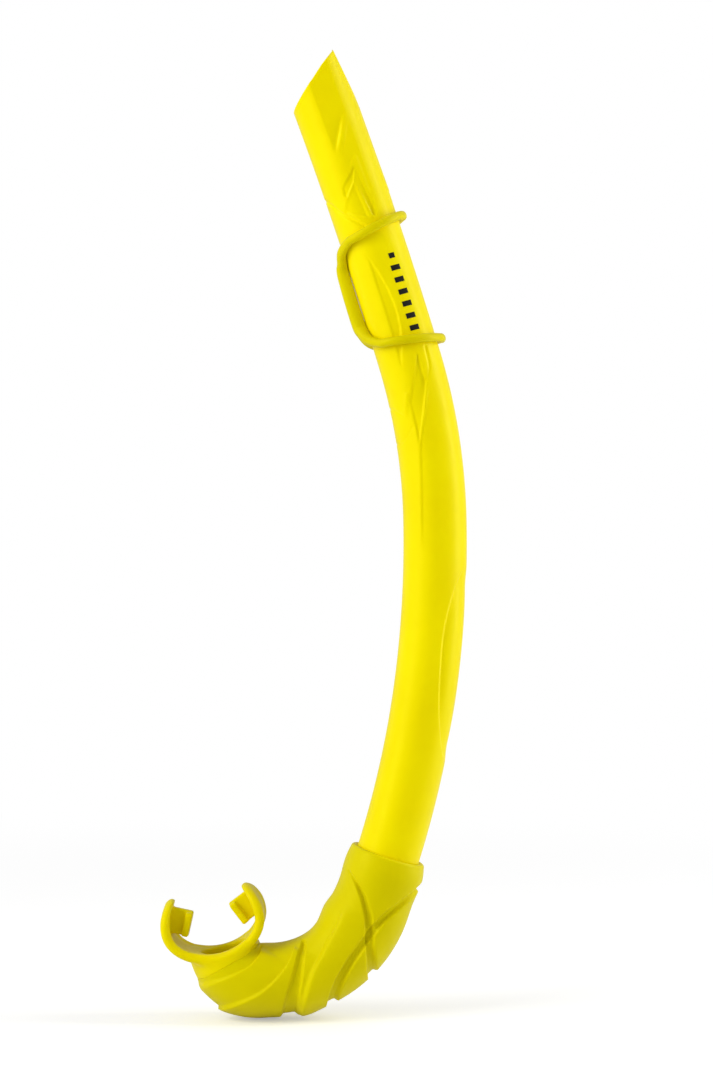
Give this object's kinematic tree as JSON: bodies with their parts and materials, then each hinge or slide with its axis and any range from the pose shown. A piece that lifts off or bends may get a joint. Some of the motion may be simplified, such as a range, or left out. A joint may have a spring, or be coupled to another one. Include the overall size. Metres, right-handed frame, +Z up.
{
  "type": "snorkel tube",
  "caption": "J-shaped soft snorkel: curved round barrel with a slanted top, elbow boot, mouthpiece with bite tabs, and a turning mask-strap keeper.",
  "frame": {"origin": "middle of the bite, half-way between the two bite tabs, in the plane of the J", "axes": "+Z up, from the boot towards the barrel's open top; +X from the mouthpiece towards the tube; +Y across the J"},
  "size_m": [0.1282, 0.0338, 0.404],
  "materials": {
    "barrel_plastic": "satin, flexible moulded plastic",
    "boot_rubber": "satin soft moulded elastomer",
    "mouthpiece_rubber": "smooth satin soft elastomer",
    "keeper_rubber": "satin elastic cord"
  },
  "bodies": {
    "elbow": {"boot": "boot_rubber", "mouthpiece": "mouthpiece_rubber"},
    "tube": {"barrel": "barrel_plastic"},
    "strap_keeper": {"keeper": "keeper_rubber"}
  },
  "joints": [
    {"name": "barrel_swivel", "type": "hinge", "parent": "elbow", "child": "tube", "pos_m": [0.07417, 0, 0.02461], "axis": [0.3007, 0, 0.9537], "range_deg": [-35, 35]},
    {"name": "keeper_turn", "type": "hinge", "parent": "tube", "child": "strap_keeper", "pos_m": [0.07373, 0, 0.26193], "axis": [-0.304, 0, 0.9527], "continuous": true}
  ]
}
